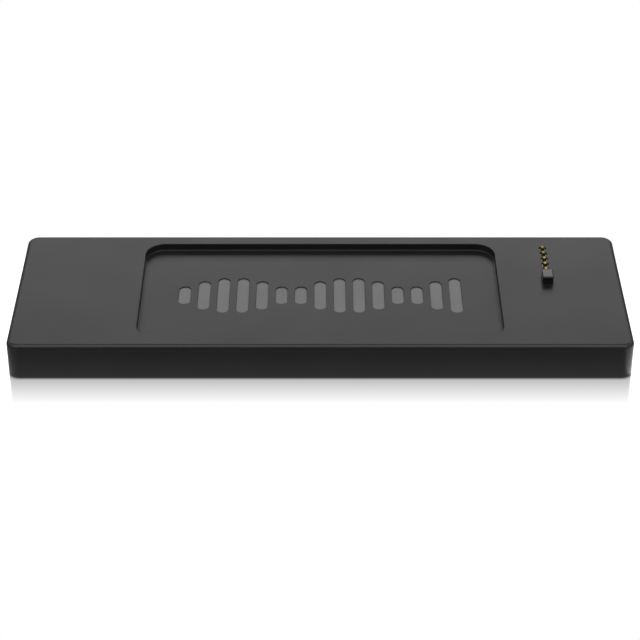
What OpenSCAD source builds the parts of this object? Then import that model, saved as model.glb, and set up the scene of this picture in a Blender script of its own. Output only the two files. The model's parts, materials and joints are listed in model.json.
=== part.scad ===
// Flat wireless transmitter pack: a low moulded slab with a shallow tray on top, a row of five sprung
// contacts and a polarising key beside it, and the radio, audio and battery parts inside.
// X runs along the pack, Y across it towards the back, Z up. The origin is the middle of the underside.

/* [Case] */
// Length of the case along X
case_l = 151.8; // [151:0.1:153]
// Width of the case along Y
case_w = 50.8; // [50:0.1:54]
// Height of the case without the key
case_h = 9.3; // [9:0.1:9.8]
// Radius of the upright corners
case_r = 2.9; // [2.3:0.1:4]
// Radius of the rounded top edge
case_fillet = 1; // [0.4:0.1:1.1]
// Thickness of the side walls
wall = 1.6; // [1.5:0.1:1.8]
// Thickness of the top wall at both ends
roof_t = 1.5; // [1.4:0.1:1.6]
// Thickness of the lower cover
cover_t = 1.4; // [1.3:0.1:1.5]
// Gap all round between the lower cover and the case wall
cover_gap = 0.12; // [0.05:0.01:0.15]
// Bevel on the outer edge of the lower cover
cover_bevel = 0.25; // [0.1:0.05:0.4]

/* [Tray] */
// Length of the tray
tray_l = 89.7; // [88:0.1:91]
// Width of the tray
tray_w = 42.8; // [42:0.1:43]
// Depth of the tray
tray_d = 1.9; // [1.6:0.1:2.1]
// Corner radius of the tray
tray_r = 5; // [4:0.5:6]
// Rounding between the tray wall and its floor
tray_foot_r = 0.2; // [0.2:0.1:0.6]
// Rounding of the tray's rim
tray_rim_r = 0.15; // [0.1:0.05:0.4]
// Thickness of the tray floor
tray_floor_t = 1.2; // [1.1:0.1:1.3]

/* [Emblem] */
// Number of bars in the level-meter emblem
bar_count = 15; // [9:2:17]
// Distance between neighbouring bars
bar_pitch = 4.86; // [4.4:0.01:4.9]
// Width of one bar
bar_w = 3; // [2:0.1:3.2]
// Length of the longest bar
bar_tall = 16; // [14:0.5:18]
// Length of the shortest bar
bar_short = 5; // [4:0.5:8]
// Depth of the pocket that a bar sits in
bar_pocket = 0.5; // [0.4:0.05:0.6]
// Thickness of one bar
bar_t = 0.25; // [0.15:0.05:0.3]

/* [Contacts] */
// Number of sprung contacts
contact_count = 5; // [5]
// Distance between neighbouring contacts
contact_pitch = 2.54; // [2.54]
// X of the contact row
contact_x = 57.4; // [57:0.05:57.8]
// Y of the contact nearest the key
contact_y0 = 9; // [8.8:0.05:9.2]
// Radius of a contact barrel
barrel_r = 0.82; // [0.81:0.01:0.84]
// Depth of the barrel's rim below the top of the case
barrel_sink = 0.3; // [0.2:0.05:0.4]
// Radius of the plunger where it leaves the barrel
plunger_r = 0.56; // [0.54:0.01:0.57]
// Height of the plunger's tip above the case
plunger_top = 0.8; // [0.7:0.01:0.9]
// Radius of the plunger's shoulder inside the barrel
shoulder_r = 0.68; // [0.66:0.01:0.68]
// Radial clearance round a barrel where it passes through the case
barrel_gap = 0.15; // [0.05:0.05:0.25]
// Radial clearance between plunger and barrel
contact_fit = 0.03; // [0.02:0.01:0.04]
// Length of the key block along X
key_l = 2.8; // [2.4:0.1:2.9]
// Width of the key block along Y
key_w = 3.9; // [3.4:0.1:4.4]
// Height of the key block above the case
key_h = 2; // [1.8:0.1:2.2]
// X of the middle of the key block
key_x = 57.3; // [57.1:0.05:57.5]
// Y of the middle of the key block
key_y = 4.35; // [4.2:0.05:4.6]

/* [Inside] */
// Height of the underside of both circuit boards
board_z = 3; // [3]
// Thickness of both circuit boards
board_t = 0.8; // [0.8]
// Length of the battery cell
cell_l = 82; // [70:1:82]
// Width of the battery cell
cell_w = 37; // [30:1:37]
// Thickness of the battery cell
cell_t = 3.4; // [3:0.1:3.4]
// Radius of the microphone socket's bore
jack_bore_r = 1.8; // [1.78:0.01:1.8]
// Travel of the power switch
switch_travel = 2; // [1.5:0.1:2]

/* [Hidden] */
$fn = 64;
eps = 0.01;

tray_z = case_h - tray_d;
mid_roof_z = tray_z - tray_floor_t;
end_roof_z = case_h - roof_t;
mid_half_l = tray_l / 2 + 1.6;
cavity_l = case_l - 2 * wall;
cavity_w = case_w - 2 * wall;
cavity_r = case_r - wall;
board_top = board_z + board_t;
inner_x = cavity_l / 2;

// Screws: M2, countersunk in the cover and pan-headed under the boards
screw_r = 0.95;
thread_hole_r = 1.0;
cover_boss_r = 2.2;
cover_head_r = 1.9;
cover_screw_top = 5.4;
cover_thread_top = 5.6;
board_screw_l = 3;
board_thread_l = 3.2;
cover_corner = [70.3, 20.3];
cover_mid_y = 21.1;
cover_screw_at = [for (sx = [-1, 1], sy = [-1, 1]) [sx * cover_corner[0], sy * cover_corner[1]],
    for (sy = [-1, 1]) [0, sy * cover_mid_y]];
board_boss_r = 2;
board_head_r = 1.7;
board_head_t = 1;
board_screw_at = [[50.6, 20.2], [50.6, -20.2], [69.8, 0], [-56, 14.6], [-56, -14.6]];
driver_slot_w = 0.4;

// Contact row
contact_rim_z = case_h - barrel_sink;
contact_tip_z = case_h + plunger_top;
mouth_t = 0.3;
mouth_z = contact_rim_z - mouth_t;
barrel_bore_r = shoulder_r + contact_fit;
barrel_floor_z = 4.6;
barrel_foot_z = 4.2;
tail_r = 0.3;
tail_z = 2.2;
shoulder_gap = 0.02;
shoulder_l = 1.6;
shoulder_z = mouth_z - shoulder_gap - shoulder_l;
carrier_l = 3.9;
carrier_y0 = 1.8;
carrier_y1 = 20.6;
spring_wire_r = 0.08;
spring_r = 0.54;
spring_turns = 8;

// Key block and its slot
key_corner_r = 0.45;
key_fillet = 0.35;
fit_gap = 0.05;

// Left end: microphone socket, status light and power switch, all in the -X end wall
input_axis_z = 5;
jack_y = 9;
jack_l = 13;
jack_w = 6.4;
jack_h = 4.8;
jack_nose_r = 2.6;
jack_depth = 13.2;
jack_face_x = -case_l / 2 + 0.1;
jack_body_x = -inner_x + 0.1;
light_y = 2.2;
light_z = 4.7;
light_r = 0.75;
switch_y = -6.2;
switch_w = 8.6;
switch_frame_l = 3.6;
switch_frame_h = 2.4;
knob_w = 3;
knob_h = 2.2;
knob_gap = 0.2;
stem_w = 1;
knob_y = switch_y - switch_travel / 2;
knob_out_x = -case_l / 2 + 0.2;
knob_in_x = -inner_x - 0.1;
switch_face_x = -inner_x + 0.2;

// Battery: the cell hangs on a tape pad under the tray floor
tape_t = 0.2;
cell_x1 = 38;
cell_top = mid_roof_z - tape_t;
cell_bottom = cell_top - cell_t;
guard_x0 = cell_x1 + 0.2;
guard_x1 = guard_x0 + 3.2;
guard_z = 3.2;
plug_x0 = 46.4;
plug_l = 3.6;
plug_y = -12.9;
plug_w = 4.4;
plug_z = board_top + 0.1;
plug_t = 1.6;
battery_socket_x1 = 52;
lead_r = 0.45;
lead_shift = 1.4;
lead_y = [-10.5, -12.5];
lead_z = guard_z + board_t + lead_r;
lead_x0 = guard_x0 + 1.2;
lead_x1 = plug_x0 + 1;

// Circuit boards: the main board at the +X end and the input board at the -X end
main_x0 = 47.6;
main_x1 = 73.2;
main_half_w = 22.8;
notch_x = 67.6;
notch_y = 17.6;
input_x0 = -73.2;
input_x1 = -53.2;
input_half_w = 17.2;

// Screening can over the radio, and the stamped antenna at the board's outer edge
shield_x = 64.4;
shield_y = -10.4;
shield_l = 14;
shield_w = 12;
shield_h = 2.2;
shield_t = 0.2;
antenna_x = 72.6;
antenna_t = 0.25;
antenna_half_l = 14;

// Flat cable under the cell, between a socket on the underside of each board
cable_half_w = 5;
cable_z = 2.1;
cable_t = 0.2;
socket_l = 4;
socket_half_w = 6.5;
cable_grip = 2.6;

// Blank rating label in a shallow pocket of the lower cover
label_l = 46;
label_w = 20;
label_t = 0.15;
label_x = -26;

module rounded_rect(l, w, r) {
    square([l - 2 * r, w], center = true);
    square([l, w - 2 * r], center = true);
    for (sx = [-1, 1], sy = [-1, 1])
        translate([sx * (l / 2 - r), sy * (w / 2 - r)]) circle(r = r);
}

module plate(l, w, r, z0, z1) {
    translate([0, 0, z0]) linear_extrude(z1 - z0) rounded_rect(l, w, r);
}

// A box from its two opposite corners
module block(low, high) {
    translate(low) cube(high - low);
}

// A box of the given size standing on z, centred on x and y
module chip(x, y, z, size) {
    translate([x - size[0] / 2, y - size[1] / 2, z]) cube(size);
}

// Carries a profile round a rounded rectangle: the profile's x is the distance outside the outline
module round_sweep(l, w, r) {
    for (i = [0:3]) {
        half = (i % 2 == 0) ? l / 2 : w / 2;
        side = ((i % 2 == 0) ? w : l) - 2 * r;
        corner_x = ((i % 2 == 0) ? l : w) / 2 - r;
        rotate([0, 0, 90 * i]) {
            translate([half, side / 2, 0]) rotate([90, 0, 0]) linear_extrude(side) children();
            translate([corner_x, side / 2, 0]) rotate_extrude(angle = 90) translate([r, 0]) children();
        }
    }
}

// A rounded slab whose top edge is rounded too
module filleted_slab(l, w, r, z0, z1, f) {
    plate(l - 2 * f, w - 2 * f, r - f, z0, z1);
    round_sweep(l, w, r) {
        translate([-f, z0]) square([f, z1 - z0 - f]);
        translate([-f, z1 - f]) intersection() {
            circle(r = f);
            square(f);
        }
    }
}

// The space of the tray, with a rounded foot and a flared rim
module tray_space() {
    f = tray_foot_r;
    rim = tray_rim_r;
    plate(tray_l - 2 * f, tray_w - 2 * f, tray_r - f, tray_z, case_h + 1);
    round_sweep(tray_l, tray_w, tray_r) {
        translate([-f, tray_z + f]) square([f, case_h + 1 - tray_z - f]);
        translate([-f, tray_z + f]) intersection() {
            circle(r = f);
            translate([0, -f]) square(f);
        }
        translate([0, case_h - rim]) difference() {
            square([rim, rim + 1]);
            translate([rim, 0]) circle(r = rim);
        }
    }
}

module cavity() {
    difference() {
        plate(cavity_l, cavity_w, cavity_r, -1, end_roof_z);
        block([-mid_half_l, -case_w, mid_roof_z], [mid_half_l, case_w, case_h]);
    }
}

function bar_length(i) = bar_short + (bar_tall - bar_short) * abs(sin(180 * (i + 0.5) / bar_count * 2.5));

module emblem_bar_outline(i, grow) {
    run = bar_length(i) - bar_w;
    square([bar_w + 2 * grow, run], center = true);
    for (s = [-1, 1]) translate([0, s * run / 2]) circle(r = bar_w / 2 + grow);
}

module emblem(grow, z0, z1) {
    for (i = [0:bar_count - 1])
        translate([(i - (bar_count - 1) / 2) * bar_pitch, 0, z0])
            linear_extrude(z1 - z0) emblem_bar_outline(i, grow);
}

function contact_y(i) = contact_y0 + i * contact_pitch;

module contact_holes(r, z0, z1) {
    for (i = [0:contact_count - 1])
        translate([contact_x, contact_y(i), z0]) cylinder(r = r, h = z1 - z0);
}

module key_body(grow, z0, z1) {
    translate([key_x, key_y, 0])
        plate(key_l + 2 * grow, key_w + 2 * grow, key_corner_r + grow, z0, z1);
}

module shell_bosses() {
    for (p = cover_screw_at)
        translate([p[0], p[1], cover_t]) cylinder(r = cover_boss_r, h = mid_roof_z - cover_t + eps);
    for (sx = [-1, 1], sy = [-1, 1])
        translate([sx * cover_corner[0], sy * cover_corner[1], mid_roof_z])
            cylinder(r = cover_boss_r, h = end_roof_z - mid_roof_z + eps);
    for (sy = [-1, 1])
        translate([-1, sy > 0 ? cover_mid_y + 1 : -cavity_w / 2 - eps, cover_t])
            cube([2, cavity_w / 2 + eps - cover_mid_y - 1, mid_roof_z - cover_t]);
    for (p = board_screw_at)
        translate([p[0], p[1], board_top]) cylinder(r = board_boss_r, h = end_roof_z - board_top + eps);
}

module shell_bores() {
    for (p = cover_screw_at)
        translate([p[0], p[1], cover_t - 1]) cylinder(r = thread_hole_r, h = cover_thread_top - cover_t + 1);
    for (p = board_screw_at)
        translate([p[0], p[1], board_top - 1]) cylinder(r = thread_hole_r, h = board_thread_l + 1 - board_t);
}

module end_wall_openings() {
    translate([-case_l / 2 - 1, jack_y, input_axis_z])
        rotate([0, 90, 0]) cylinder(r = jack_nose_r + fit_gap, h = wall + 2);
    translate([-case_l / 2 - 1, light_y, light_z])
        rotate([0, 90, 0]) cylinder(r = light_r + fit_gap, h = wall + 2);
    slot_w = knob_w + switch_travel + 2 * knob_gap;
    slot_h = knob_h + 2 * knob_gap;
    translate([-case_l / 2 - 1, switch_y - slot_w / 2, input_axis_z - slot_h / 2])
        cube([wall + 2, slot_w, slot_h]);
}

module upper_shell() {
    color("#3a3b3c") difference() {
        union() {
            difference() {
                filleted_slab(case_l, case_w, case_r, 0, case_h, case_fillet);
                cavity();
                tray_space();
            }
            shell_bosses();
        }
        shell_bores();
        emblem(0.05, tray_z - bar_pocket, tray_z + 1);
        contact_holes(barrel_r + barrel_gap, end_roof_z - 1, case_h + 1);
        key_body(fit_gap, end_roof_z - 1, case_h + 1);
        end_wall_openings();
    }
}

module emblem_bars() {
    color("#767677") emblem(0, tray_z - bar_pocket, tray_z - bar_pocket + bar_t);
}

module lower_cover() {
    l = cavity_l - 2 * cover_gap;
    w = cavity_w - 2 * cover_gap;
    b = cover_bevel;
    r = max(cavity_r - cover_gap, b + 0.05);
    color("#2c2d2e") difference() {
        union() {
            plate(l - 2 * b, w - 2 * b, r - b, 0, cover_t);
            round_sweep(l, w, r) polygon([[-b, 0], [0, b], [0, cover_t], [-b, cover_t]]);
        }
        for (p = cover_screw_at) translate([p[0], p[1], 0]) {
            translate([0, 0, -1]) cylinder(r = screw_r + 0.15, h = cover_t + 2);
            translate([0, 0, -eps]) cylinder(r1 = cover_head_r + 0.1, r2 = screw_r + 0.1, h = 1.1);
        }
        translate([label_x, 0, 0]) plate(label_l + 0.3, label_w + 0.3, 1.15, -1, label_t + 0.05);
    }
}

module rating_label() {
    color("#b9babb") translate([label_x, 0, 0]) plate(label_l, label_w, 1, 0.05, label_t + 0.05);
}

// Cross recess that opens at z and goes up into a screw head
module cross_recess(z, r, depth) {
    for (a = [0, 90])
        rotate([0, 0, a]) translate([-r, -driver_slot_w / 2, z - 1]) cube([2 * r, driver_slot_w, depth + 1]);
}

module cover_screws() {
    color("#8b8c8e") for (p = cover_screw_at) translate([p[0], p[1], 0]) difference() {
        union() {
            translate([0, 0, 0.1]) cylinder(r1 = cover_head_r, r2 = screw_r, h = 0.95);
            translate([0, 0, 0.5]) cylinder(r = screw_r, h = cover_screw_top - 0.5);
        }
        cross_recess(0.1, 1.05, 0.55);
    }
}

module board_screws() {
    color("#8b8c8e") for (p = board_screw_at) translate([p[0], p[1], board_z]) difference() {
        union() {
            translate([0, 0, -board_head_t]) cylinder(r = board_head_r, h = board_head_t);
            cylinder(r = screw_r, h = board_screw_l);
        }
        cross_recess(-board_head_t, 1, 0.5);
    }
}

module contact_carrier() {
    x0 = contact_x - carrier_l / 2;
    color("#1b1b1c") difference() {
        union() {
            block([x0, carrier_y0, board_top], [x0 + carrier_l, carrier_y1, end_roof_z]);
            translate([key_x, key_y, 0])
                filleted_slab(key_l, key_w, key_corner_r, end_roof_z - 1, case_h + key_h, key_fillet);
        }
        contact_holes(barrel_r + 0.01, board_top - 1, end_roof_z + 1);
    }
}

module contact_barrels() {
    color("#c9a63c") for (i = [0:contact_count - 1]) translate([contact_x, contact_y(i), 0]) difference() {
        union() {
            translate([0, 0, tail_z]) cylinder(r = tail_r, h = barrel_foot_z - tail_z + eps);
            translate([0, 0, barrel_foot_z]) cylinder(r = barrel_r, h = contact_rim_z - 0.1 - barrel_foot_z);
            translate([0, 0, contact_rim_z - 0.1]) cylinder(r1 = barrel_r, r2 = barrel_r - 0.08, h = 0.1);
        }
        translate([0, 0, barrel_floor_z]) cylinder(r = barrel_bore_r, h = mouth_z - barrel_floor_z);
        translate([0, 0, mouth_z - eps]) cylinder(r = plunger_r + contact_fit, h = mouth_t + 1);
    }
}

module contact_plunger(i) {
    color("#d8b64a") translate([contact_x, contact_y(i), 0]) {
        translate([0, 0, shoulder_z]) cylinder(r = shoulder_r, h = shoulder_l);
        translate([0, 0, shoulder_z]) cylinder(r = plunger_r, h = contact_tip_z - plunger_r - shoulder_z);
        translate([0, 0, contact_tip_z - plunger_r]) intersection() {
            sphere(r = plunger_r);
            translate([0, 0, plunger_r]) cube(2 * plunger_r, center = true);
        }
    }
}

function unit(v) = v / norm(v);

// Round wire of radius r swept along a path that never runs straight up
module wire(path, r, sides) {
    last = len(path) - 1;
    points = [for (i = [0:last])
        let (along = unit(path[min(i + 1, last)] - path[max(i - 1, 0)]),
            side = unit(cross(along, [0, 0, 1])),
            top = cross(side, along))
        for (j = [0:sides - 1])
            path[i] + r * (cos(360 * j / sides) * side + sin(360 * j / sides) * top)];
    skin = [for (i = [0:last - 1], j = [0:sides - 1])
        [i * sides + j, (i + 1) * sides + j, (i + 1) * sides + (j + 1) % sides, i * sides + (j + 1) % sides]];
    first = [for (j = [0:sides - 1]) j];
    end = [for (j = [0:sides - 1]) last * sides + sides - 1 - j];
    polyhedron(points = points, faces = concat([first, end], skin));
}

function coil_path(z0, z1, r, turns, steps) = [for (i = [0:turns * steps])
    [r * cos(360 * i / steps), r * sin(360 * i / steps), z0 + (z1 - z0) * i / (turns * steps)]];

module contact_spring(i) {
    color("#b8b8ba") translate([contact_x, contact_y(i), 0])
        wire(coil_path(barrel_floor_z + spring_wire_r, shoulder_z - spring_wire_r, spring_r, spring_turns, 12),
            spring_wire_r, 6);
}

module main_board() {
    color("#1f5a3a") difference() {
        block([main_x0, -main_half_w, board_z], [main_x1, main_half_w, board_top]);
        for (sy = [-1, 1])
            translate([notch_x, sy > 0 ? notch_y : -main_half_w - 1, board_z - 1])
                cube([main_x1, main_half_w + 1 - notch_y, board_t + 2]);
        for (p = board_screw_at) translate([p[0], p[1], board_z - 1]) cylinder(r = screw_r + 0.15, h = board_t + 2);
        contact_holes(tail_r + 0.1, board_z - 1, board_top + 1);
    }
}

module input_board() {
    color("#1f5a3a") difference() {
        block([input_x0, -input_half_w, board_z], [input_x1, input_half_w, board_top]);
        block([input_x0 - 1, jack_y - jack_w / 2 - 0.2, board_z - 1],
            [jack_body_x + jack_l + 0.2, jack_y + jack_w / 2 + 0.2, board_top + 1]);
        for (p = board_screw_at) translate([p[0], p[1], board_z - 1]) cylinder(r = screw_r + 0.15, h = board_t + 2);
    }
}

module radio_shield() {
    color("#b5b6b4") translate([shield_x, shield_y, 0]) difference() {
        plate(shield_l, shield_w, 0.6, board_top, board_top + shield_h);
        plate(shield_l - 2 * shield_t, shield_w - 2 * shield_t, 0.4, board_top - 1, board_top + shield_h - shield_t);
        for (x = [-4:2:4], y = [-3:2:3]) translate([x, y, board_top]) cylinder(r = 0.4, h = shield_h + 1);
    }
}

module radio_chip() {
    color("#222223") chip(shield_x - 2, shield_y, board_top, [6, 6, 0.9]);
}

module radio_crystal() {
    color("#c8c8c4") chip(shield_x + 4, shield_y, board_top, [2.5, 3.2, 0.7]);
}

module controller_chip() {
    color("#222223") chip(65.6, 13.2, board_top, [7, 7, 1]);
}

module audio_codec_chip() {
    color("#222223") chip(64, 4.4, board_top, [5, 5, 0.9]);
}

module charger_chip() {
    color("#222223") chip(52.4, 8, board_top, [3, 3, 0.8]);
}

module power_inductor() {
    color("#3b3833") translate([51.4, 14, 0]) plate(4, 4, 0.8, board_top, board_top + 2);
}

module board_capacitors() {
    size = [0.8, 1.6, 0.8];
    color("#a68a5c") {
        for (i = [0:5]) chip(62.2 + 1.5 * i, 19.4 - (i > 3 ? 10.8 : 0), board_top, size);
        for (i = [0:3]) chip(50 + 1.3 * i, 3.6, board_top, size);
        for (i = [0:3]) chip(49.6 + 1.6 * i, -4.6, board_top, size);
    }
}

module antenna() {
    color("#c9c3a8") {
        block([antenna_x, -antenna_half_l, 4.8], [antenna_x + antenna_t, antenna_half_l, 7.4]);
        for (y = [-antenna_half_l, -antenna_half_l + 4])
            block([antenna_x, y, board_top], [antenna_x + antenna_t, y + 1, 5]);
        block([antenna_x, antenna_half_l - 1, board_top], [antenna_x + antenna_t, antenna_half_l, 5]);
    }
}

module link_socket(x0, open_side) {
    mouth = open_side > 0 ? x0 + socket_l - cable_grip : x0 - 1;
    difference() {
        block([x0, -socket_half_w, board_z - 1.1], [x0 + socket_l, socket_half_w, board_z]);
        block([mouth, -cable_half_w - 0.1, cable_z - 0.05],
            [mouth + cable_grip + 1, cable_half_w + 0.1, cable_z + cable_t + 0.05]);
    }
}

module link_sockets() {
    color("#e6e2d6") {
        link_socket(main_x0 + 0.4, -1);
        link_socket(input_x1 - 0.4 - socket_l, 1);
    }
}

module link_cable() {
    color("#dcdde0") block([input_x1 - 0.4 - cable_grip + 0.2, -cable_half_w, cable_z],
        [main_x0 + 0.4 + cable_grip - 1.2, cable_half_w, cable_z + cable_t]);
}

module mic_jack() {
    color("#18181a") difference() {
        union() {
            block([jack_body_x, jack_y - jack_w / 2, input_axis_z - jack_h / 2],
                [jack_body_x + jack_l, jack_y + jack_w / 2, input_axis_z + jack_h / 2]);
            translate([jack_face_x, jack_y, input_axis_z])
                rotate([0, 90, 0]) cylinder(r = jack_nose_r, h = jack_body_x - jack_face_x + eps);
        }
        translate([jack_face_x - 1, jack_y, input_axis_z])
            rotate([0, 90, 0]) cylinder(r = jack_bore_r, h = jack_depth + 1);
    }
}

module jack_terminals() {
    color("#c9a63c") for (x = [3, 6.5, 10], s = [-1, 1])
        chip(jack_body_x + x, jack_y + s * (jack_w / 2 + 0.7), board_top, [1, 1.4, 0.2]);
}

module switch_frame() {
    stem_slot = stem_w + switch_travel + 2 * knob_gap;
    z0 = input_axis_z - switch_frame_h / 2;
    color("#9a9b9d") difference() {
        block([switch_face_x, switch_y - switch_w / 2, z0],
            [switch_face_x + switch_frame_l, switch_y + switch_w / 2, z0 + switch_frame_h]);
        block([switch_face_x - 1, switch_y - stem_slot / 2, input_axis_z - stem_w / 2 - knob_gap],
            [switch_face_x + 2.8, switch_y + stem_slot / 2, input_axis_z + stem_w / 2 + knob_gap]);
    }
}

module switch_knob() {
    color("#141415") {
        difference() {
            block([knob_out_x, knob_y - knob_w / 2, input_axis_z - knob_h / 2],
                [knob_in_x, knob_y + knob_w / 2, input_axis_z + knob_h / 2]);
            for (s = [-1, 0, 1])
                translate([knob_out_x - 1, knob_y + s * 0.9 - 0.2, input_axis_z - knob_h])
                    cube([1.3, 0.4, 2 * knob_h]);
        }
        block([knob_in_x - eps, knob_y - stem_w / 2, input_axis_z - stem_w / 2],
            [switch_face_x + 2.5, knob_y + stem_w / 2, input_axis_z + stem_w / 2]);
    }
}

module status_led() {
    color("#e8e6d0") chip(-73.05, light_y, board_top, [1.1, 1.8, 1.3]);
}

module light_pipe() {
    color("#d7dadc") translate([-case_l / 2, light_y, light_z]) rotate([0, 90, 0]) {
        cylinder(r = light_r, h = wall + 0.3);
        translate([0, 0, wall + 0.02]) cylinder(r = light_r + 0.35, h = 0.3);
    }
}

module battery_cell() {
    color("#a9abae") translate([cell_x1 - cell_l / 2, 0, 0])
        filleted_slab(cell_l, cell_w, 1.5, cell_bottom, cell_top, 0.8);
}

module battery_tape() {
    color("#e9e9e4") block([-36, -14, cell_top], [30, 14, mid_roof_z]);
}

module battery_protection_board() {
    color("#1f5a3a") block([guard_x0, -15, guard_z], [guard_x1, 15, guard_z + board_t]);
}

module battery_tabs() {
    color("#c4c4bf") for (y = [-4, 8])
        block([cell_x1, y, guard_z + board_t], [cell_x1 + 2, y + 4, guard_z + board_t + 0.15]);
}

// The wire's y along its run: it leaves the board straight and eases sideways into the plug
function ease(t) = t * t * (3 - 2 * t);
function lead_path(y) = [for (i = [0:14])
    [lead_x0 + (lead_x1 - lead_x0) * i / 14, y - lead_shift * ease(max(0, min(1, (i - 3) / 8))), lead_z]];

module battery_leads() {
    color("#b02a25") wire(lead_path(lead_y[0]), lead_r, 10);
    color("#1a1a1a") wire(lead_path(lead_y[1]), lead_r, 10);
}

module battery_plug() {
    color("#f0efe8") difference() {
        block([plug_x0, plug_y - plug_w / 2, plug_z], [plug_x0 + plug_l, plug_y + plug_w / 2, plug_z + plug_t]);
        for (y = lead_y) translate([plug_x0 - 1, y - lead_shift, lead_z])
            rotate([0, 90, 0]) cylinder(r = lead_r + 0.05, h = 2.05);
    }
}

module battery_socket() {
    x0 = plug_x0 + plug_l - 2.2;
    color("#e6e2d6") difference() {
        block([x0, plug_y - plug_w / 2 - 0.6, board_top],
            [battery_socket_x1, plug_y + plug_w / 2 + 0.6, board_top + 2.2]);
        block([x0 - 1, plug_y - plug_w / 2 - 0.05, board_top + 0.05],
            [plug_x0 + plug_l + 0.1, plug_y + plug_w / 2 + 0.05, board_top + 1.75]);
    }
}

upper_shell();
lower_cover();
cover_screws();
rating_label();
emblem_bars();
contact_carrier();
contact_barrels();
contact_plunger(0);  // contact_plunger_1
contact_plunger(1);  // contact_plunger_2
contact_plunger(2);  // contact_plunger_3
contact_plunger(3);  // contact_plunger_4
contact_plunger(4);  // contact_plunger_5
contact_spring(0);  // contact_spring_1
contact_spring(1);  // contact_spring_2
contact_spring(2);  // contact_spring_3
contact_spring(3);  // contact_spring_4
contact_spring(4);  // contact_spring_5
main_board();
board_screws();
radio_shield();
radio_chip();
radio_crystal();
controller_chip();
audio_codec_chip();
charger_chip();
power_inductor();
board_capacitors();
antenna();
link_sockets();
link_cable();
input_board();
mic_jack();
jack_terminals();
switch_frame();
switch_knob();
status_led();
light_pipe();
battery_cell();
battery_tape();
battery_tabs();
battery_protection_board();
battery_leads();
battery_plug();
battery_socket();
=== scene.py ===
import json
import math

import bmesh
import bpy
from mathutils import Matrix, Vector


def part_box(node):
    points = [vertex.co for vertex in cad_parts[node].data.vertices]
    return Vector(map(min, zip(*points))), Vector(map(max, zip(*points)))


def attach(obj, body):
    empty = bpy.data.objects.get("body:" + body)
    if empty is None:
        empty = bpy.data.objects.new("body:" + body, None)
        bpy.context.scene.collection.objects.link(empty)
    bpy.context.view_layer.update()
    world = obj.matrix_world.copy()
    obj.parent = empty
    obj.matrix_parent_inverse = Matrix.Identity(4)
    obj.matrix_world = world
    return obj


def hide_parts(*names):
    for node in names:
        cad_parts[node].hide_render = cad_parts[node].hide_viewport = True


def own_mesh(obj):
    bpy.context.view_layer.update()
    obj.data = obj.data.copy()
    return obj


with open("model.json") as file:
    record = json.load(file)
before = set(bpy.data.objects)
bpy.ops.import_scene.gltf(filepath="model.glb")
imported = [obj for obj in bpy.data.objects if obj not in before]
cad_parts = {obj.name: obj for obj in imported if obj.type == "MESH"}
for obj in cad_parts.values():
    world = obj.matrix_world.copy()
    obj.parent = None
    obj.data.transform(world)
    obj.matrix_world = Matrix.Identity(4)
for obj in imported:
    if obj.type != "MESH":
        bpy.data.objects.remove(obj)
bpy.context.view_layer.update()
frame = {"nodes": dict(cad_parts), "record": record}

MM = 0.001
CASE_LOW, CASE_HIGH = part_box("upper_shell")
CASE_L = CASE_HIGH.x - CASE_LOW.x
CASE_W = CASE_HIGH.y - CASE_LOW.y
CASE_CORNER_R = 2.9 * MM
TRAVEL = {joint["name"]: joint["range_m"] for joint in frame["record"]["behaviour"]["joints"]}


# ---------------------------------------------------------------- shader helpers

class Nodes:
    """A node material, with short calls that add nodes to its tree."""

    def __init__(self, name):
        self.material = bpy.data.materials.new(name)
        self.material.use_nodes = True
        self.tree = self.material.node_tree

    def add(self, kind, **settings):
        """A new node of this kind, with its properties set."""
        node = self.tree.nodes.new(kind)
        for key, value in settings.items():
            setattr(node, key, value)
        return node

    def link(self, source, target):
        self.tree.links.new(source, target)

    def math(self, operation, a, b=None):
        """One Math node, or a VectorMath node where the operation starts with V_."""
        vector = operation.startswith("V_")
        kind = "ShaderNodeVectorMath" if vector else "ShaderNodeMath"
        node = self.add(kind, operation=operation.removeprefix("V_"))
        for socket, value in zip(node.inputs, (a, b)):
            if isinstance(value, (float, int, tuple)):
                socket.default_value = value
            elif value is not None:
                self.link(value, socket)
        gives_number = not vector or operation in ("V_LENGTH", "V_DOT_PRODUCT")
        return node.outputs["Value" if gives_number else "Vector"]

    def part(self, vector, axis):
        """One coordinate of a vector."""
        node = self.add("ShaderNodeSeparateXYZ")
        self.link(vector, node.inputs[0])
        return node.outputs[axis]

    def span(self, value, low, high, start=0.3, end=0.7):
        """value between start and end, carried to low and high."""
        node = self.add("ShaderNodeMapRange")
        self.link(value, node.inputs["Value"])
        for socket, number in (("From Min", start), ("From Max", end), ("To Min", low), ("To Max", high)):
            node.inputs[socket].default_value = number
        return node.outputs["Result"]


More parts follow.
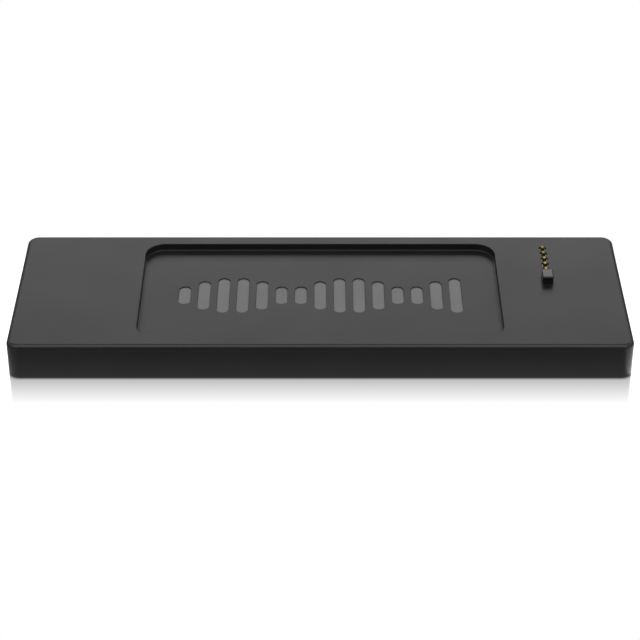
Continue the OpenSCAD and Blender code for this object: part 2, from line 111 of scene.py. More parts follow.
class Shader(Nodes):
    """A material whose surface is one Principled shader, in the object's own frame."""

    def __init__(self, name, color, roughness, metallic=0.0, ior=1.5, **sockets):
        super().__init__(name)
        self.surface = self.tree.nodes["Principled BSDF"]
        self.color = color
        self.roughness = roughness
        self.set("Base Color", (*color, 1.0))
        self.set("Roughness", roughness)
        self.set("Metallic", metallic)
        self.set("IOR", ior)
        for socket, value in sockets.items():
            self.set(socket.replace("_", " "), value)
        self.place = self.add("ShaderNodeTexCoord").outputs["Object"]

    def set(self, socket, value):
        """A constant on the surface's own socket."""
        self.surface.inputs[socket].default_value = value

    def link(self, source, target):
        """Link to a socket, or to the surface's own socket of that name."""
        super().link(source, self.surface.inputs[target] if isinstance(target, str) else target)

    def noise(self, cell, detail=2.0, rough=0.5, stretch=(1, 1, 1)):
        """Noise whose features are about cell metres across, longer along a stretched axis."""
        node = self.add("ShaderNodeTexNoise")
        node.inputs["Scale"].default_value = 1.0 / cell
        node.inputs["Detail"].default_value = detail
        node.inputs["Roughness"].default_value = rough
        self.link(self.math("V_DIVIDE", self.place, tuple(map(float, stretch))), node.inputs["Vector"])
        return node.outputs["Fac"]

    def cells(self, cell):
        """Distance from the nearest of a field of scattered points, in cells."""
        node = self.add("ShaderNodeTexVoronoi", feature="F1")
        node.inputs["Scale"].default_value = 1.0 / cell
        self.link(self.place, node.inputs["Vector"])
        return node.outputs["Distance"]

    def blend(self, factor, low, high):
        """A colour between low and high."""
        node = self.add("ShaderNodeMix", data_type="RGBA")
        self.link(factor, node.inputs["Factor"])
        color_a, color_b, result = node.inputs[6], node.inputs[7], node.outputs[2]
        for socket, color in ((color_a, low), (color_b, high)):
            if isinstance(color, tuple):
                socket.default_value = (*color, 1.0)
            else:
                self.link(color, socket)
        return result

    def edges(self, radius):
        """1 on sharp edges, falling to 0 about radius metres away from them."""
        rounded = self.add("ShaderNodeBevel")
        rounded.inputs["Radius"].default_value = radius
        flat = self.add("ShaderNodeNewGeometry").outputs["Normal"]
        alike = self.math("V_DOT_PRODUCT", rounded.outputs[0], flat)
        return self.span(alike, 0, 1, start=0.995, end=0.9)

    def soften(self, radius):
        """Round the shading of sharp edges over radius metres. Comes before any bump."""
        rounded = self.add("ShaderNodeBevel")
        rounded.inputs["Radius"].default_value = radius
        self.link(rounded.outputs[0], "Normal")

    def bump(self, height, depth):
        """Bump of depth metres from a height between 0 and 1, on top of what shades the surface so far."""
        node = self.add("ShaderNodeBump")
        node.inputs["Distance"].default_value = depth
        self.link(height, node.inputs["Height"])
        previous = self.surface.inputs["Normal"].links
        if previous:
            self.link(previous[0].from_socket, node.inputs["Normal"])
        self.link(node.outputs["Normal"], "Normal")

    def drift(self, cell, color=0.12, gloss=0.02):
        """A slow change of colour, as a share of it, and of roughness."""
        slow = self.noise(cell, 3)
        low, high = (tuple(c * k for c in self.color) for k in (1 - color, 1 + color))
        tint = self.blend(self.span(slow, 0, 1), low, high)
        self.link(tint, "Base Color")
        self.link(self.span(slow, self.roughness - gloss, self.roughness + gloss), "Roughness")
        return tint


def shade(color, factor):
    """A colour made lighter or darker."""
    return tuple(c * factor for c in color)


# ---------------------------------------------------------------- materials, one function for each slot

def moulded(name, color, roughness, grain, depth, edge=0.06, wear=1.5, **sockets):
    """Moulded plastic: matt grain, a slow change of gloss, and soft edges that handling has worn paler.

    grain is the grain's size, depth its depth and edge the edges' radius, in millimetres.
    """
    shader = Shader(name, color, roughness, **sockets)
    tint = shader.drift(14 * MM)
    patches = shader.span(shader.noise(1.5 * MM, 4), 0, 1, start=0.4, end=0.6)
    worn = shader.math("MULTIPLY", shader.edges(3 * edge * MM), patches)
    shader.link(shader.blend(worn, tint, shade(color, wear)), "Base Color")
    shader.soften(edge * MM)
    shader.bump(shader.noise(grain * MM, 2), depth * MM)
    return shader


def case_plastic():
    """Black case plastic with a spark-eroded grain."""
    return moulded("case_plastic", (0.009, 0.009, 0.0092), 0.36, grain=0.12, depth=0.0012)


def cover_plastic():
    """Black cover plastic with a coarser grain than the case."""
    return moulded("cover_plastic", (0.013, 0.013, 0.0133), 0.45, grain=0.22, depth=0.004)


def carrier_plastic():
    """Dense black plastic with a smooth finish, for the contact carrier and its key."""
    return moulded("carrier_plastic", (0.008, 0.008, 0.008), 0.16, grain=0.08, depth=0.0008, ior=1.62)


def emblem_paint():
    """Grey satin paint with a fine metallic fleck."""
    shader = moulded("emblem_paint", (0.125, 0.125, 0.125), 0.4, grain=0.06, depth=0.0006, wear=1.1)
    fleck = shader.span(shader.cells(0.09 * MM), 0.5, 0, start=0.1, end=0.3)
    shader.link(fleck, "Metallic")
    return shader


def connector_plastic():
    """Ivory nylon of the plugs and sockets."""
    return moulded("connector_plastic", (0.72, 0.68, 0.58), 0.45, grain=0.15, depth=0.001, wear=1.1,
                   Subsurface_Weight=0.05)


def jack_plastic():
    """Black glass-filled nylon of the microphone socket."""
    return moulded("jack_plastic", (0.01, 0.01, 0.0105), 0.38, grain=0.1, depth=0.0015)


def chip_epoxy():
    """Moulded chip body: dark grey epoxy with coarse filler in it."""
    return moulded("chip_epoxy", (0.02, 0.02, 0.021), 0.55, grain=0.05, depth=0.0015, wear=1.3)


def metal(name, color, roughness, line=0.03, stretch=(1, 1, 1), depth=0.0006, edge=0.05, tarnish=0.75):
    """Bright metal: fine drawn or turned lines, fingerprints in its gloss, and dull patches.

    line is the lines' width, depth their depth and edge the edges' radius, in millimetres.
    """
    shader = Shader(name, color, roughness, metallic=1.0)
    slow = shader.noise(1.2 * MM, 4)
    dull = shader.span(slow, 0, 1, start=0.45, end=0.7)
    shader.link(shader.blend(dull, color, shade(color, tarnish)), "Base Color")
    lines = shader.noise(line * MM, 3, rough=0.6, stretch=stretch)
    prints = shader.span(slow, roughness - 0.05, roughness + 0.08)
    shader.link(shader.math("ADD", prints, shader.span(lines, -0.04, 0.04)), "Roughness")
    shader.soften(edge * MM)
    shader.bump(lines, depth * MM)
    return shader


def gold():
    """Gold over nickel on turned brass, with the turning lines across its length."""
    return metal("gold", (0.42, 0.33, 0.15), 0.26, stretch=(20, 20, 1), tarnish=0.6)


def spring_steel():
    """Drawn stainless wire."""
    return metal("spring_steel", (0.5, 0.5, 0.51), 0.28, line=0.02)


def screw_steel():
    """Nickel-plated steel with turning lines and a driver's marks."""
    return metal("screw_steel", (0.42, 0.42, 0.43), 0.32, line=0.05, tarnish=0.6)


def tinned_steel():
    """Tin-plated sheet, rolled along the pack."""
    return metal("tinned_steel", (0.62, 0.61, 0.58), 0.3, line=0.04, stretch=(25, 1, 1), tarnish=0.92)


def label_film():
    """Silver film with a printed frame near its edge and nothing inside it."""
    line_inset = 1.2 * MM
    line_half_w = 0.15 * MM
    shader = metal("label_film", (0.55, 0.55, 0.56), 0.42, stretch=(40, 1, 1), tarnish=0.92)
    low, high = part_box("rating_label")
    half = (high - low) / 2
    away = shader.math("V_ABSOLUTE", shader.math("V_SUBTRACT", shader.place, tuple((low + high) / 2)))
    past = shader.math("V_SUBTRACT", away, (half.x, half.y, 0))
    inset = shader.math("MAXIMUM", shader.part(past, "X"), shader.part(past, "Y"))
    frame_line = shader.math("COMPARE", inset, -line_inset)
    frame_line.node.inputs[2].default_value = line_half_w
    film = shader.surface.inputs["Base Color"].links[0].from_socket
    shader.link(shader.blend(frame_line, film, (0.03, 0.03, 0.03)), "Base Color")
    shader.set("Metallic", 0.6)
    return shader


def circuit_board():
    """Green solder mask over bundles of copper tracks, with tinned through-holes."""
    shader = Shader("circuit_board", (0.012, 0.1, 0.045), 0.3, Coat_Weight=0.4)
    slow = shader.span(shader.noise(6 * MM, 3), 0, 1)
    mask = shader.blend(slow, (0.01, 0.085, 0.038), (0.014, 0.115, 0.05))
    # The tracks are the joints between long thin bricks, in millimetres.
    tracks = shader.add("ShaderNodeTexBrick", offset=0.37)
    for socket, number in (("Scale", 1.0 / MM), ("Mortar Size", 0.09), ("Mortar Smooth", 0.3),
                           ("Brick Width", 11.3), ("Row Height", 0.44)):
        tracks.inputs[socket].default_value = number
    shader.link(shader.place, tracks.inputs["Vector"])
    bundles = shader.span(shader.noise(4.5 * MM, 0), 0, 1, start=0.47, end=0.475)
    copper = shader.math("MULTIPLY", tracks.outputs["Fac"], bundles)
    tint = shader.blend(copper, mask, (0.03, 0.2, 0.07))
    holes = shader.span(shader.cells(2.3 * MM), 1, 0, start=0.07, end=0.09)
    shader.link(shader.blend(holes, tint, (0.6, 0.56, 0.46)), "Base Color")
    shader.link(shader.math("MULTIPLY", holes, 0.9), "Metallic")
    shader.soften(0.05 * MM)
    shader.bump(copper, 0.02 * MM)
    shader.bump(shader.noise(0.3 * MM, 2), 0.003 * MM)
    return shader


def ceramic():
    """Tan capacitor ceramic with fired pits."""
    shader = Shader("ceramic", (0.38, 0.26, 0.14), 0.5)
    shader.drift(0.6 * MM, color=0.2, gloss=0.05)
    shader.soften(0.06 * MM)
    shader.bump(shader.noise(0.05 * MM, 4), 0.003 * MM)
    return shader


def ferrite():
    """Grey sintered ferrite with dark and light grains."""
    shader = Shader("ferrite", (0.045, 0.043, 0.04), 0.6)
    shader.drift(0.35 * MM, color=0.4, gloss=0.08)
    shader.soften(0.1 * MM)
    shader.bump(shader.noise(0.08 * MM, 5, rough=0.6), 0.006 * MM)
    return shader


def flex_film():
    """White flat cable whose tinned conductors show through the film as parallel lines."""
    shader = Shader("flex_film", (0.78, 0.79, 0.8), 0.35, Coat_Weight=0.3)
    pitch = 1.0 * MM
    across = shader.part(shader.place, "Y")
    wave = shader.math("SINE", shader.math("MULTIPLY", across, 2 * math.pi / pitch))
    wire = shader.span(wave, 0, 1, start=0, end=0.35)
    slow = shader.span(shader.noise(3 * MM, 3), 0, 1)
    film = shader.blend(slow, (0.7, 0.71, 0.72), (0.82, 0.83, 0.84))
    shader.link(shader.blend(wire, film, (0.42, 0.42, 0.44)), "Base Color")
    shader.bump(wire, 0.02 * MM)
    shader.bump(shader.noise(0.2 * MM, 2), 0.002 * MM)
    return shader


def light_plastic():
    """Frosted clear light pipe."""
    shader = Shader("light_plastic", (0.9, 0.92, 0.93), 0.3, ior=1.58, Transmission_Weight=0.75)
    shader.link(shader.span(shader.noise(0.4 * MM, 3), 0.2, 0.4), "Roughness")
    cloud = shader.span(shader.noise(0.8 * MM, 2), 0, 1)
    shader.link(shader.blend(cloud, (0.82, 0.85, 0.86), (0.93, 0.94, 0.95)), "Base Color")
    shader.soften(0.08 * MM)
    shader.bump(shader.noise(0.06 * MM, 3), 0.002 * MM)
    return shader


def led_epoxy():
    """White light-emitting diode body with a yellow lens in the middle."""
    shader = Shader("led_epoxy", (0.8, 0.78, 0.7), 0.35, Coat_Weight=0.5)
    low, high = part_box("status_led")
    centre = (low + high) / 2
    away = shader.math("V_LENGTH", shader.math("V_SUBTRACT", shader.place, tuple(centre)))
    lens = shader.span(away, 1, 0, start=0.5 * MM, end=0.65 * MM)
    shader.link(shader.blend(lens, (0.8, 0.78, 0.72), (0.75, 0.6, 0.12)), "Base Color")
    shader.soften(0.06 * MM)
    shader.bump(shader.noise(0.1 * MM, 2), 0.002 * MM)
    return shader


def pouch_foil():
    """Laminated aluminium pouch: dull silver with creases and a fine calendered grain."""
    shader = Shader("pouch_foil", (0.52, 0.53, 0.54), 0.38, metallic=0.85)
    shader.drift(9 * MM, color=0.08, gloss=0.06)
    shader.soften(0.3 * MM)
    shader.bump(shader.noise(6 * MM, 4, rough=0.55), 0.12 * MM)
    shader.bump(shader.noise(0.15 * MM, 2), 0.002 * MM)
    return shader


def tape_foam():
    """White foam tape with open cells."""
    shader = Shader("tape_foam", (0.78, 0.77, 0.73), 0.85)
    shader.drift(4 * MM, color=0.06, gloss=0.03)
    shader.bump(shader.cells(0.18 * MM), 0.03 * MM)
    return shader


def insulation(name, color):
    """Drawn plastic wire insulation with faint rings from the extruder."""
    shader = Shader(name, color, 0.4)
    shader.drift(1.5 * MM, color=0.12, gloss=0.05)
    shader.bump(shader.noise(0.12 * MM, 3), 0.003 * MM)
    return shader


SLOT_MAKERS = (
    case_plastic, cover_plastic, emblem_paint, carrier_plastic, gold, spring_steel, screw_steel, label_film,
    circuit_board, chip_epoxy, tinned_steel, ceramic, ferrite, connector_plastic, flex_film, jack_plastic,
    light_plastic, led_epoxy, pouch_foil, tape_foam,
)
MATERIALS = {maker.__name__: maker().material for maker in SLOT_MAKERS}
MATERIALS["lead_insulation"] = insulation("lead_red", (0.45, 0.02, 0.015)).material
LEAD_BLACK = insulation("lead_black", (0.012, 0.012, 0.012)).material


def finish_nodes():
    """Give every CAD node the material of its slot."""
    for part in frame["record"]["subparts"]:
        mesh = frame["nodes"][part["node"]].data
        mesh.materials.clear()
        mesh.materials.append(MATERIALS[part["material_slot"]])


# ---------------------------------------------------------------- mesh helpers

def piece(name, bm, slot, body="case", replaces=(), sharp=40):
    """Turn a bmesh into a finished piece that rides on a body."""
    bmesh.ops.recalc_face_normals(bm, faces=bm.faces)
    mesh = bpy.data.meshes.new(name)
    bm.to_mesh(mesh)
    bm.free()
    for polygon in mesh.polygons:
        polygon.use_smooth = True
    mesh.set_sharp_from_angle(angle=math.radians(sharp))
    mesh.materials.append(MATERIALS[slot])
    obj = bpy.data.objects.new(name, mesh)
    bpy.context.scene.collection.objects.link(obj)
    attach(obj, body)
    if replaces:
        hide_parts(*replaces)
    return obj


def solids(node):
    """The lowest and highest corners of each separate solid in a CAD node."""
    bm = bmesh.new()
    bm.from_mesh(frame["nodes"][node].data)
    bmesh.ops.remove_doubles(bm, verts=bm.verts, dist=1e-7)
    waiting = set(bm.verts)
    boxes = []
    while waiting:
        group = [waiting.pop()]
        for vert in group:
            near = {edge.other_vert(vert) for edge in vert.link_edges} & waiting
            waiting -= near
            group.extend(near)
        boxes.append(tuple(Vector([pick(v.co[i] for v in group) for i in range(3)]) for pick in (min, max)))
    bm.free()
    return sorted(boxes, key=lambda box: tuple(box[0]))


def add_box(bm, low, high, bevel=0.0):
    """A box between two corners, with its edges rounded by bevel."""
    low, high = Vector(low), Vector(high)
    made = bmesh.ops.create_cube(bm, size=1.0, matrix=Matrix.Translation((low + high) / 2)
                                 @ Matrix.Diagonal((*(high - low), 1.0)))
    if bevel:
        edges = {edge for vert in made["verts"] for edge in vert.link_edges}
        bmesh.ops.bevel(bm, geom=list(edges), offset=bevel, segments=3, affect="EDGES", profile=0.5)


def add_lathe(bm, profile, place, segments=48):
    """A closed (radius, height) profile turned about the axis that place gives."""
    rings = []
    for radius, height in profile:
        ring = []
        for step in range(segments):
            turn = 2 * math.pi * step / segments
            x, y = radius * math.cos(turn), radius * math.sin(turn)
            ring.append(bm.verts.new(place @ Vector((x, y, height))))
        rings.append(ring)
    for ring, following in zip(rings, rings[1:] + rings[:1]):
        for step in range(segments):
            after = (step + 1) % segments
            bm.faces.new((ring[step], ring[after], following[after], following[step]))


def add_tube(bm, path, radius, sides=10, material=0):
    """A round wire with closed ends along a path of points."""
    rings = []
    side = None
    for i, point in enumerate(path):
        along = (path[min(i + 1, len(path) - 1)] - path[max(i - 1, 0)]).normalized()
        side = along.orthogonal() if side is None else side - along * side.dot(along)
        side.normalize()
        up = along.cross(side)
        rings.append([bm.verts.new(point + radius * (math.cos(turn) * side + math.sin(turn) * up))
                      for turn in (2 * math.pi * k / sides for k in range(sides))])
    faces = [bm.faces.new(rings[0][::-1]), bm.faces.new(rings[-1])]
    for ring, following in zip(rings, rings[1:]):
        for k in range(sides):
            after = (k + 1) % sides
            faces.append(bm.faces.new((ring[k], ring[after], following[after], following[k])))
    for face in faces:
        face.material_index = material


# ---------------------------------------------------------------- contacts

def make_contact_springs():
    """Coiled springs with flat-wound ends."""
    wire_r = 0.08 * MM
    turns, steps = 8, 28
    flat_turns = 0.9
    for i in range(1, 6):
        low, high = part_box(f"contact_spring_{i}")
        centre = (low + high) / 2
        coil_r = (high.x - low.x) / 2 - wire_r
        start, end = low.z + wire_r, high.z - wire_r
        path = []
        for step in range(turns * steps + 1):
            turn = step / steps
            rise = min(max((turn - flat_turns) / (turns - 2 * flat_turns), 0), 1)
            flat = 2 * wire_r * (min(turn, flat_turns) + max(turn - turns + flat_turns, 0)) / flat_turns
            height = start + flat + rise * (end - start - 4 * wire_r)
            angle = 2 * math.pi * turn
            x, y = centre.x + coil_r * math.cos(angle), centre.y + coil_r * math.sin(angle)
            path.append(Vector((x, y, height)))
        bm = bmesh.new()
        add_tube(bm, path, wire_r)
        spring = piece(f"coil_spring_{i}", bm, "spring_steel", replaces=(f"contact_spring_{i}",))
        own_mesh(spring)


# ---------------------------------------------------------------- electronics

def add_solder_row(bm, low, high, count, pitch):
    """Solder fillets from the pads round a leadless chip up its four sides."""
    reach, width, rise = 0.24 * MM, 0.26 * MM, 0.3 * MM
    overlap, foot = 0.02 * MM, 0.04 * MM
    profile = ((-overlap, 0), (reach, 0), (reach, foot), (0.3 * reach, 0.5 * rise), (-overlap, rise))
    centre = (low + high) / 2
    for quarter in range(4):
        spin = Matrix.Rotation(quarter * math.pi / 2, 3, "Z")
        half = (high.x - low.x) / 2 if quarter % 2 == 0 else (high.y - low.y) / 2
        for k in range(count):
            shift = (k - (count - 1) / 2) * pitch
            corners = []
            for across in (-width / 2, width / 2):
                for out, up in profile:
                    spot = spin @ Vector((half + out, shift + across, 0))
                    corners.append(bm.verts.new((centre.x + spot.x, centre.y + spot.y, low.z + up)))
            first, last = corners[:len(profile)], corners[len(profile):]
            bm.faces.new(first)
            bm.faces.new(last[::-1])
            for j in range(len(profile)):
                after = (j + 1) % len(profile)
                bm.faces.new((first[j], first[after], last[after], last[j]))


def make_chip_solder():
    """Rows of solder fillets round the four leadless chips."""
    pitch = 0.5 * MM
    pads_a_side = {"controller_chip": 12, "audio_codec_chip": 8, "charger_chip": 5, "radio_chip": 10}
    for node, count in pads_a_side.items():
        bm = bmesh.new()
        low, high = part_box(node)
        add_solder_row(bm, low, high, count, pitch)
        piece(node + "_solder", bm, "tinned_steel")


def make_capacitor_ends():
    """Tinned caps on both ends of every capacitor."""
    skin, cap, edge_r = 0.02 * MM, 0.36 * MM, 0.05 * MM
    bm = bmesh.new()
    for low, high in solids("board_capacitors"):
        for start, end in ((low.y - skin, low.y + cap), (high.y - cap, high.y + skin)):
            add_box(bm, (low.x - skin, start, low.z), (high.x + skin, end, high.z + skin), edge_r)
    piece("capacitor_ends", bm, "tinned_steel")


def ease(t):
    """A smooth step from 0 to 1 while t goes from 0 to 1."""
    return t * t * (3 - 2 * t)


def make_battery_leads():
    """The red and the black lead, on the route of the CAD model's leads, which step sideways on the way."""
    bm = bmesh.new()
    steps = 40
    leaves, arrives = 3 / 14, 11 / 14
    leads = solids("battery_leads")
    lead_r = (leads[0][1].z - leads[0][0].z) / 2
    for material, (low, high) in enumerate(sorted(leads, key=lambda box: -box[1].y)):
        y0, y1 = high.y - lead_r, low.y + lead_r
        path = []
        for step in range(steps + 1):
            t = step / steps
            sideways = ease(min(max((t - leaves) / (arrives - leaves), 0), 1))
            path.append(Vector((low.x + (high.x - low.x) * t, y0 + (y1 - y0) * sideways, low.z + lead_r)))
        add_tube(bm, path, lead_r, sides=16, material=material)
    pair = piece("battery_lead_pair", bm, "lead_insulation", replaces=("battery_leads",))
    pair.data.materials.append(LEAD_BLACK)


def make_cell_folds():
    """The pouch's sealed edges, folded up against its long sides."""
    thickness, overlap, edge_r = 0.24 * MM, 0.02 * MM, 0.08 * MM
    end_gap, foot_gap, top_gap = 1.2 * MM, 0.3 * MM, 0.7 * MM
    low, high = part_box("battery_cell")
    bm = bmesh.new()
    for inner, outer in ((high.y - overlap, high.y + thickness), (low.y - thickness, low.y + overlap)):
        add_box(bm, (low.x + end_gap, inner, low.z + foot_gap),
                (high.x - end_gap, outer, high.z - top_gap), edge_r)
    piece("cell_side_folds", bm, "pouch_foil")


# ---------------------------------------------------------------- sockets and light in the left end wall

def make_jack_trim():
    """A plated ring round the microphone socket's mouth, and the leaf contacts down its bore."""
    mount = next(m for m in frame["record"]["mounts"] if m["name"] == "mic_input")
    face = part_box("mic_jack")[0].x
    centre = Vector(mount["pos_m"])
    bore_r = mount["dims"]["r_mm"] * MM
    into = Matrix.Translation((face, centre.y, centre.z)) @ Matrix.Rotation(math.pi / 2, 4, "Y")
    inner, outer = bore_r + 0.04 * MM, bore_r + 0.62 * MM
    proud, sunk, round_off = 0.08 * MM, 0.05 * MM, 0.03 * MM
    bm = bmesh.new()
    add_lathe(bm, [(inner, sunk), (inner, -proud + round_off), (inner + round_off, -proud),
                   (outer - round_off, -proud), (outer, -proud + round_off), (outer, sunk)], into)
    piece("jack_ring", bm, "tinned_steel")
    slices, slice_step, slice_l = 6, 0.2, 0.21 * MM
    half_w, bulge, overlap = 0.5 * MM, 0.22 * MM, 0.02 * MM
    bm = bmesh.new()
    for depth, turn in ((4, 0), (7, 180), (10.5, 0)):
        spin = Matrix.Rotation(math.radians(turn), 3, "X")
        for k in range(slices):
            along = face + (depth + slice_step * k) * MM
            dip = bulge * math.sin(math.pi * (k + 0.5) / slices)
            corner = spin @ Vector((0, 0, bore_r - dip))
            reach = spin @ Vector((0, 0, bore_r + overlap))
            z0, z1 = sorted((centre.z + corner.z, centre.z + reach.z))
            add_box(bm, (along, centre.y - half_w, z0), (along + slice_l, centre.y + half_w, z1))
    piece("jack_leaf_contacts", bm, "gold")


def make_switch_shutter():
    """The thin dust shutter behind the end wall that covers the switch's slot and slides with its knob."""
    margin, edge_r = 0.5 * MM, 0.02 * MM
    gap, thickness = 0.05 * MM, 0.1 * MM
    knob_low, knob_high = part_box("switch_knob")
    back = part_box("switch_frame")[0].x - gap
    reach = (knob_high.y - knob_low.y) / 2 + TRAVEL["switch_slide"][1] + margin
    middle = (knob_low.y + knob_high.y) / 2
    bm = bmesh.new()
    add_box(bm, (back - thickness, middle - reach, knob_low.z - margin),
            (back, middle + reach, knob_high.z + margin), edge_r)
    piece("switch_dust_shutter", bm, "carrier_plastic", body="switch")


# ---------------------------------------------------------------- floor and backdrop

FLOOR_SIZE, BOUNCE_SIZE, DOME_R = 4, 1.2, 5
FLOOR_DROP = 0.03 * MM  # the floor lies this far under the case, and the bounce plane twice as far

# The floor mirrors the case and has a painted contact shadow at its foot, where its light is dimmed. Each
# ends this far out from the case.
MIRROR, MIRROR_REACH = 0.53, 10.5 * MM
MIRROR_ROUGHNESS = 0.1
PAINTED_SHADOW, PAINTED_SHADOW_REACH = 0.85, 0.9 * MM

# The light that the floor throws back, at the case and this far out from it.
BOUNCE_NEAR, BOUNCE_FAR, BOUNCE_REACH = 0.55, 0.2, 12 * MM
# Off each front corner it is this many times as strong, past a line at this angle to the end wall.
LEFT_GAIN, LEFT_ANGLE = 1.3, 4
RIGHT_GAIN, RIGHT_ANGLE = 3.9, 32
CORNER_INSET, CORNER_FADE = 0.7 * MM, 1 * MM
# That extra light starts at the case's outline, and fades out between these two places along Y.
OUTLINE_FADE = 0.4 * MM
EXTRA_FULL_Y, EXTRA_NONE_Y = -CASE_W / 2 + 10 * MM, -CASE_W / 2 + 24 * MM


class Glow(Nodes):
    """A material of plain white light on a bare surface."""

    def __init__(self, name):
        super().__init__(name)
        self.tree.nodes.clear()
        self.output = self.add("ShaderNodeOutputMaterial")
        self.light = self.add("ShaderNodeEmission")
        self.light.inputs["Color"].default_value = (1, 1, 1, 1)
        self.light.inputs["Strength"].default_value = 1.0
        self.link(self.light.outputs[0], self.output.inputs["Surface"])

    def mix(self, factor, first, second):
        """The first shader where factor is 0 and the second where it is 1."""
        node = self.add("ShaderNodeMixShader")
        for source, target in zip((factor, first, second), node.inputs):
            self.link(source, target)
        return node.outputs[0]


def outline_distance(glow, place):
    """How far a place lies outside the case's outline, seen from above, in metres."""
    past_any_height = 10
    core = (CASE_L / 2 - CASE_CORNER_R, CASE_W / 2 - CASE_CORNER_R, past_any_height)
    past = glow.math("V_SUBTRACT", glow.math("V_ABSOLUTE", place), core)
    outside = glow.math("V_MAXIMUM", past, (0, 0, 0))
    return glow.math("SUBTRACT", glow.math("V_LENGTH", outside), CASE_CORNER_R)


def past_corner(glow, place, side, angle):
    """How far a place lies past a line that leaves a front corner at angle degrees to the end wall."""
    turn = math.radians(angle)
    normal = Vector((side * math.cos(turn), math.sin(turn), 0))
    corner = Vector((side * (CASE_L / 2 - CORNER_INSET), -CASE_W / 2 + CORNER_INSET, 0))
    return glow.math("SUBTRACT", glow.math("V_DOT_PRODUCT", place, tuple(normal)), normal.dot(corner))


def floor_material():
    """White floor that mirrors the case faintly, has a painted shadow where they touch, and is clear from
    below.
    """
    glow = Glow("floor_white")
    geometry = glow.add("ShaderNodeNewGeometry")
    distance = outline_distance(glow, geometry.outputs["Position"])
    # painted contact shadow: the floor's own light is dimmed near the case's outline
    glow.link(glow.span(distance, 1 - PAINTED_SHADOW, 1, start=0, end=PAINTED_SHADOW_REACH), glow.light.inputs["Strength"])
    mirror = glow.add("ShaderNodeBsdfGlossy")
    mirror.inputs["Roughness"].default_value = MIRROR_ROUGHNESS
    mirrored = glow.span(distance, MIRROR, 0, start=0, end=MIRROR_REACH)
    top = glow.mix(mirrored, glow.light.outputs[0], mirror.outputs[0])
    clear = glow.add("ShaderNodeBsdfTransparent")
    one_sided = glow.mix(geometry.outputs["Backfacing"], top, clear.outputs[0])
    glow.link(one_sided, glow.output.inputs["Surface"])
    return glow.material


def bounce_material():
    """Light that the floor throws back at the case: strongest beside it, and more off its front corners."""
    glow = Glow("floor_bounce")
    place = glow.add("ShaderNodeNewGeometry").outputs["Position"]
    distance = outline_distance(glow, place)
    near = glow.span(distance, BOUNCE_NEAR, BOUNCE_FAR, start=0, end=BOUNCE_REACH)
    left, right = (
        glow.span(past_corner(glow, place, side, angle), 0, gain - 1, start=0, end=CORNER_FADE)
        for side, angle, gain in ((-1, LEFT_ANGLE, LEFT_GAIN), (1, RIGHT_ANGLE, RIGHT_GAIN)))
    beside = glow.span(distance, 0, 1, start=0, end=OUTLINE_FADE)
    ahead = glow.span(glow.part(place, "Y"), 1, 0, start=EXTRA_FULL_Y, end=EXTRA_NONE_Y)
    extra = glow.math("MULTIPLY", glow.math("ADD", left, right), glow.math("MULTIPLY", beside, ahead))
    glow.link(glow.math("MULTIPLY", near, glow.math("ADD", extra, 1.0)), glow.light.inputs["Strength"])
    glow.material.cycles.emission_sampling = "NONE"
    return glow.material


def make_floor():
    """The white floor, which only the camera sees: it neither lights nor shadows the case."""
    bpy.ops.mesh.primitive_plane_add(size=FLOOR_SIZE, location=(0, 0, -FLOOR_DROP))
    floor = bpy.context.object
    floor.name = "floor"
    floor.data.materials.append(floor_material())
    floor.visible_diffuse = False
    floor.visible_glossy = False
    floor.visible_transmission = False
    floor.visible_shadow = False
    return floor


def make_floor_bounce():
    """The plane under the floor that gives the light the floor throws back, hidden from the camera."""
    bpy.ops.mesh.primitive_plane_add(size=BOUNCE_SIZE, location=(0, 0, -2 * FLOOR_DROP))
    bounce = bpy.context.object
    bounce.name = "floor_bounce"
    bounce.data.materials.append(bounce_material())
    bounce.visible_camera = False
    bounce.visible_shadow = False


def make_backdrop(floor):
    """A plain white dome behind every view. It is linked to the floor, so that it lights nothing else."""
    bpy.ops.mesh.primitive_uv_sphere_add(radius=DOME_R, segments=48, ring_count=24)
    dome = bpy.context.object
    dome.name = "backdrop"
    dome.data.materials.append(Glow("backdrop_white").material)
    dome.visible_diffuse = False
    dome.visible_transmission = False
    dome.visible_shadow = False
    mirrors = bpy.data.collections.new("mirrors_of_backdrop")
    mirrors.objects.link(floor)
    dome.light_linking.receiver_collection = mirrors


# ---------------------------------------------------------------- lights and camera

WORLD_STRENGTH = 0.11
LIGHT_DISTANCE = 0.9
# name, azimuth, elevation, size (across, up), radiance
SOFTBOXES = (
    ("back_panel", 180, 29, (0.7, 0.4), 1.6),
    ("top_softbox", 0, 73.5, (1.2, 1.12), 1.6),
    ("front_low", 0, 8, (1.4, 0.26), 0.2),
)
FILL_AZIMUTHS = (-132, -90, -48, 48, 90, 132)
FILL_ELEVATION, FILL_SIZE, FILL_RADIANCE = 30, (0.56, 0.5), 0.8

CAMERA_PLACE = (-0.00006, -0.43527, 0.29128)
CAMERA_LOOKS_DOWN = 33.80
CAMERA_LENS, CAMERA_SENSOR = 116.39, 36


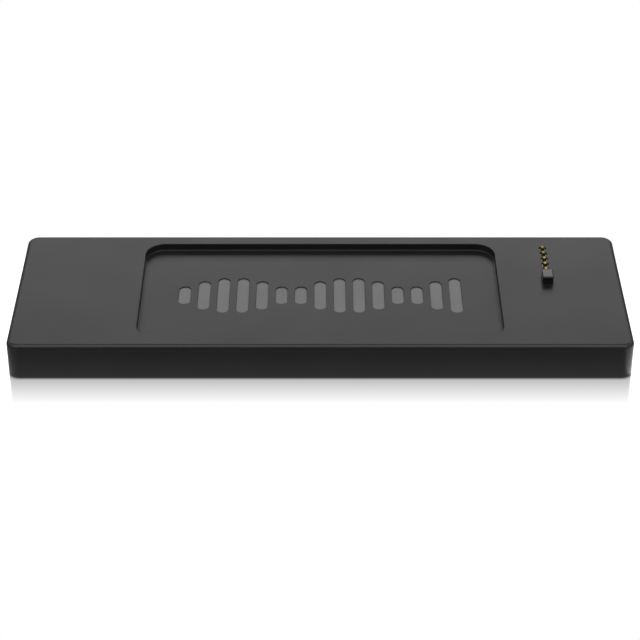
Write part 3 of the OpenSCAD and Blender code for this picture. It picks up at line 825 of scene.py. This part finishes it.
def around(distance, azimuth, elevation):
    """A point at distance from the object: azimuth 0 is in front and 90 at the +X end."""
    a, e = math.radians(azimuth), math.radians(elevation)
    out = distance * math.cos(e)
    return (out * math.sin(a), -out * math.cos(a), distance * math.sin(e))


def softbox(name, azimuth, elevation, size, radiance):
    """A rectangular softbox of even radiance that faces the object."""
    light = bpy.data.lights.new(name, "AREA")
    light.shape = "RECTANGLE"
    light.size, light.size_y = size
    light.energy = radiance * math.pi * size[0] * size[1]
    obj = bpy.data.objects.new(name, light)
    bpy.context.scene.collection.objects.link(obj)
    obj.location = around(LIGHT_DISTANCE, azimuth, elevation)
    obj.rotation_euler = (Vector() - obj.location).to_track_quat("-Z", "Y").to_euler()
    obj.visible_camera = False


def make_lights():
    """A dim white world, the three main softboxes and six weak ones round the sides."""
    world = bpy.data.worlds.new("studio")
    bpy.context.scene.world = world
    world.use_nodes = True
    background = world.node_tree.nodes["Background"]
    background.inputs["Color"].default_value = (1, 1, 1, 1)
    background.inputs["Strength"].default_value = WORLD_STRENGTH
    for name, azimuth, elevation, size, radiance in SOFTBOXES:
        softbox(name, azimuth, elevation, size, radiance)
    for azimuth in FILL_AZIMUTHS:
        softbox(f"fill_{azimuth % 360}", azimuth, FILL_ELEVATION, FILL_SIZE, FILL_RADIANCE)


def make_camera():
    """The camera that was fitted to the photo."""
    data = bpy.data.cameras.new("camera")
    data.sensor_width = CAMERA_SENSOR
    data.lens = CAMERA_LENS
    data.clip_start, data.clip_end = 0.01, 20
    camera = bpy.data.objects.new("camera", data)
    bpy.context.scene.collection.objects.link(camera)
    camera.location = CAMERA_PLACE
    camera.rotation_euler = (math.radians(90 - CAMERA_LOOKS_DOWN), 0, 0)
    bpy.context.scene.camera = camera


finish_nodes()
make_contact_springs()
make_chip_solder()
make_capacitor_ends()
make_battery_leads()
make_cell_folds()
make_jack_trim()
make_switch_shutter()
make_backdrop(make_floor())
make_floor_bounce()
make_lights()
make_camera()
bpy.context.scene.view_settings.view_transform = "Standard"
